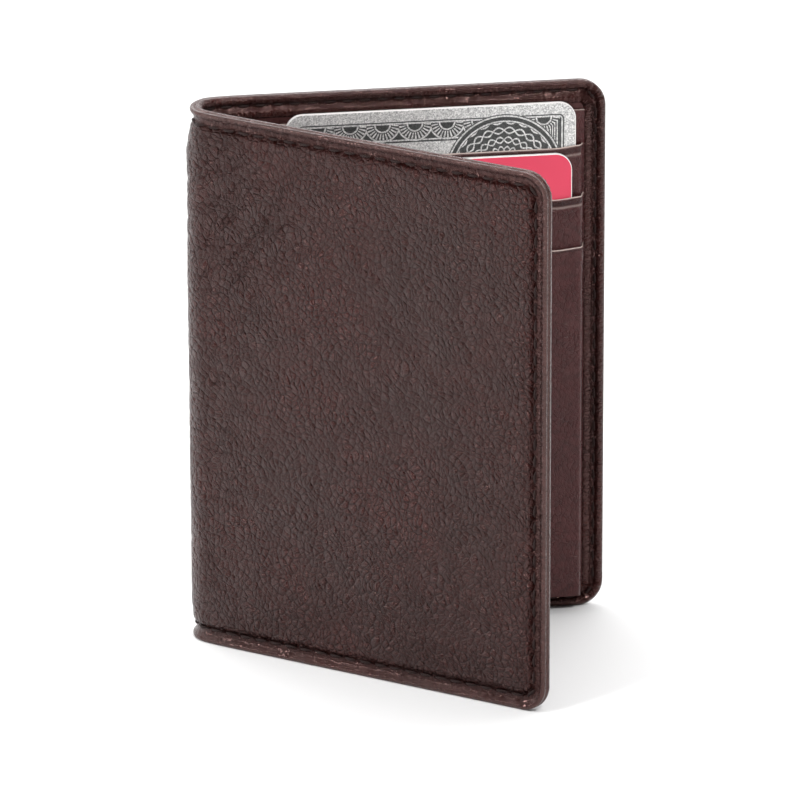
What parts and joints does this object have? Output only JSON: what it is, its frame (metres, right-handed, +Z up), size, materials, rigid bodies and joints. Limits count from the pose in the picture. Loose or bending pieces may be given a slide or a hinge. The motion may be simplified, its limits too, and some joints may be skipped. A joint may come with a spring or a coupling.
{
  "type": "bifold card wallet",
  "caption": "Portrait bifold card wallet in leather, standing half open like a book, with stitched turned edges, stepped card pockets inside the back cover and plain cards in them.",
  "frame": {"origin": "middle of the footprint of the standing wallet's bounding box, at the height of its bottom edges", "axes": "+Z up along the fold axis, +X from the fold towards the back cover's free edge, +Y out of the back cover's outer face"},
  "size_m": [0.0792, 0.0564, 0.103],
  "materials": {
    "outer_leather": "semi-gloss pebbled dark brown leather",
    "lining_leather": "smooth satin reddish brown leather",
    "pocket_leather": "smooth satin reddish brown leather with fine grain",
    "divider_fabric": "thin plain woven lining fabric",
    "stiffener_board": "thin flexible board, hidden between leather and lining",
    "stitching_thread": "waxed dark brown thread",
    "silver_card_plastic": "fine metallic sparkle under clear laminate",
    "red_card_plastic": "smooth laminated satin gloss",
    "chip_contact": "thin gold-toned contact plate"
  },
  "bodies": {
    "back_cover": {"back_outer_leather": "outer_leather", "back_stiffener": "stiffener_board", "back_lining": "lining_leather", "back_edge_stitching": "stitching_thread", "card_base_panel": "pocket_leather", "card_pocket_top": "pocket_leather", "card_pocket_top_divider": "divider_fabric", "card_pocket_middle": "pocket_leather", "card_pocket_middle_divider": "divider_fabric", "card_pocket_front": "pocket_leather", "pocket_seam_stitching": "stitching_thread"},
    "spine": {"spine_leather": "outer_leather", "spine_lining": "lining_leather", "spine_stitching": "stitching_thread"},
    "front_cover": {"front_outer_leather": "outer_leather", "front_stiffener": "stiffener_board", "front_lining": "lining_leather", "front_edge_stitching": "stitching_thread", "front_slip_pocket": "pocket_leather", "slip_pocket_stitching": "stitching_thread"},
    "silver_card": {"silver_card": "silver_card_plastic", "silver_card_chip": "chip_contact"},
    "red_card": {"red_card": "red_card_plastic", "red_card_chip": "chip_contact"}
  },
  "joints": [
    {"name": "spine_fold", "type": "hinge", "parent": "back_cover", "child": "spine", "pos_m": [-0.03647, 0.02729, 0], "axis": [0, 0, -1], "range_deg": [-20, 70]},
    {"name": "cover_fold", "type": "hinge", "parent": "spine", "child": "front_cover", "pos_m": [-0.03873, 0.02109, 0], "axis": [0, 0, -1], "range_deg": [-20, 70]},
    {"name": "silver_card_slide", "type": "slide", "parent": "back_cover", "child": "silver_card", "axis": [0, 0, 1], "range_m": [0, 0.092]},
    {"name": "red_card_slide", "type": "slide", "parent": "back_cover", "child": "red_card", "axis": [0, 0, 1], "range_m": [0, 0.1]}
  ],
  "couplings": [
    {"joint": "cover_fold", "follows": "spine_fold", "ratio": 1}
  ]
}
